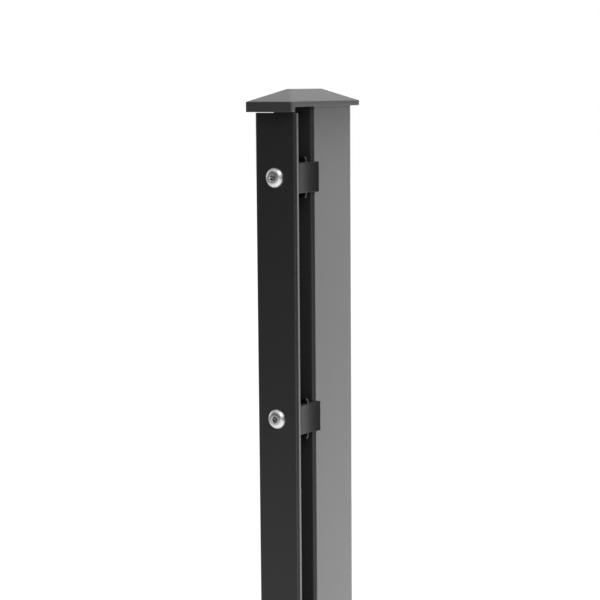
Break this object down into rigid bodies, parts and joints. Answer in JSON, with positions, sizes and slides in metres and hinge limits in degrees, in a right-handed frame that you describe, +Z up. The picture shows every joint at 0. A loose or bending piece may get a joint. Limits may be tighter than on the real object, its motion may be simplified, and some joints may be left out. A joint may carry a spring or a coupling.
{
  "type": "metal fence post",
  "caption": "Powder-coated rectangular steel fence post for double-wire mesh panels, with bolted cover strip, plastic spacer clips, dome-head screws and a hipped plastic cap.",
  "frame": {"origin": "centre of the tube's section at its foot end", "axes": "+Z up along the tube, -Y towards the cover strip and the screw heads, +X to the right seen from the strip's side"},
  "size_m": [0.046, 0.1024, 1.5115],
  "materials": {
    "powder_coat": "anthracite powder coat, satin",
    "cap_plastic": "dark grey moulded plastic, fine grain",
    "clip_plastic": "black moulded plastic",
    "stainless_steel": "bright turned stainless steel",
    "zinc_plated_steel": "zinc plate, dull"
  },
  "bodies": {
    "root": {"post_tube": "powder_coat", "cover_strip": "powder_coat", "post_cap": "cap_plastic", "spacer_clip_1": "clip_plastic", "clamp_screw_1": "stainless_steel", "rivet_nut_1": "zinc_plated_steel", "spacer_clip_2": "clip_plastic", "clamp_screw_2": "stainless_steel", "rivet_nut_2": "zinc_plated_steel", "spacer_clip_3": "clip_plastic", "clamp_screw_3": "stainless_steel", "rivet_nut_3": "zinc_plated_steel", "spacer_clip_4": "clip_plastic", "clamp_screw_4": "stainless_steel", "rivet_nut_4": "zinc_plated_steel", "spacer_clip_5": "clip_plastic", "clamp_screw_5": "stainless_steel", "rivet_nut_5": "zinc_plated_steel", "spacer_clip_6": "clip_plastic", "clamp_screw_6": "stainless_steel", "rivet_nut_6": "zinc_plated_steel"}
  },
  "joints": []
}
